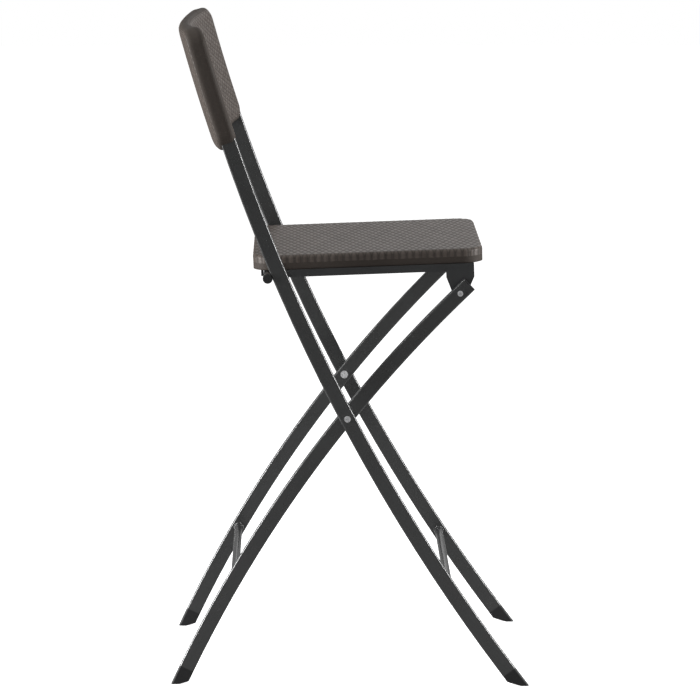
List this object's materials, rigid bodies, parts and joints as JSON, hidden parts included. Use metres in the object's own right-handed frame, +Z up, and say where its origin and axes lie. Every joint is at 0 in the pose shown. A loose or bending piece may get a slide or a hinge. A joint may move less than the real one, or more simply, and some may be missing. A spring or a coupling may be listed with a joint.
{
  "type": "folding bar stool",
  "caption": "Tall folding stool with a backrest: crossed leg frames, footrest bars, a hinged seat and a moulded, woven-look seat and backrest.",
  "frame": {"origin": "on the floor, at the middle of the stool's footprint, with the stool open", "axes": "+Z up, the sitter faces -Y, +X towards the sitter's left"},
  "size_m": [0.462, 0.6084, 1.1175],
  "materials": {
    "frame_coat": "satin",
    "bracket_coat": "satin",
    "bright_steel": "satin",
    "foot_plastic": "matte",
    "catch_plastic": "matte",
    "woven_plastic": "matte"
  },
  "bodies": {
    "long_frame": {"backrest_panel": "woven_plastic", "front_foot_left": "foot_plastic", "front_foot_right": "foot_plastic", "front_footrest": "frame_coat", "leg_pivot_bolt_left": "bright_steel", "leg_pivot_bolt_right": "bright_steel", "leg_pivot_nut_left": "bright_steel", "leg_pivot_nut_right": "bright_steel", "leg_pivot_washer_left": "bright_steel", "leg_pivot_washer_right": "bright_steel", "long_leg_left": "frame_coat", "long_leg_right": "frame_coat", "rod_plug_left": "foot_plastic", "rod_plug_right": "foot_plastic", "rod_strap_left": "frame_coat", "rod_strap_right": "frame_coat", "seat_rest_rod": "frame_coat"},
    "rear_frame": {"rear_foot_left": "foot_plastic", "rear_foot_right": "foot_plastic", "rear_footrest": "frame_coat", "rear_leg_left": "frame_coat", "rear_leg_plug_left": "foot_plastic", "rear_leg_plug_right": "foot_plastic", "rear_leg_right": "frame_coat", "seat_hinge_bolt_left": "bright_steel", "seat_hinge_bolt_right": "bright_steel", "seat_hinge_nut_left": "bright_steel", "seat_hinge_nut_right": "bright_steel"},
    "seat": {"hinge_plate_left": "bracket_coat", "hinge_plate_right": "bracket_coat", "hinge_rivets": "bracket_coat", "seat_catch_left": "catch_plastic", "seat_catch_right": "catch_plastic", "seat_cross_rail_front": "bracket_coat", "seat_cross_rail_rear": "bracket_coat", "seat_panel": "woven_plastic", "seat_rail_left": "bracket_coat", "seat_rail_right": "bracket_coat", "seat_screws": "bright_steel"}
  },
  "joints": [
    {"name": "leg_fold", "type": "hinge", "parent": "long_frame", "child": "rear_frame", "pos_m": [0, 0.00424, 0.463], "axis": [-1, 0, 0], "range_deg": [0, 61]},
    {"name": "seat_fold", "type": "hinge", "parent": "rear_frame", "child": "seat", "pos_m": [0, -0.18463, 0.67217], "axis": [1, 0, 0], "range_deg": [0, 143.85]}
  ],
  "couplings": [
    {"joint": "seat_fold", "follows": "leg_fold", "ratio": 2.35}
  ]
}
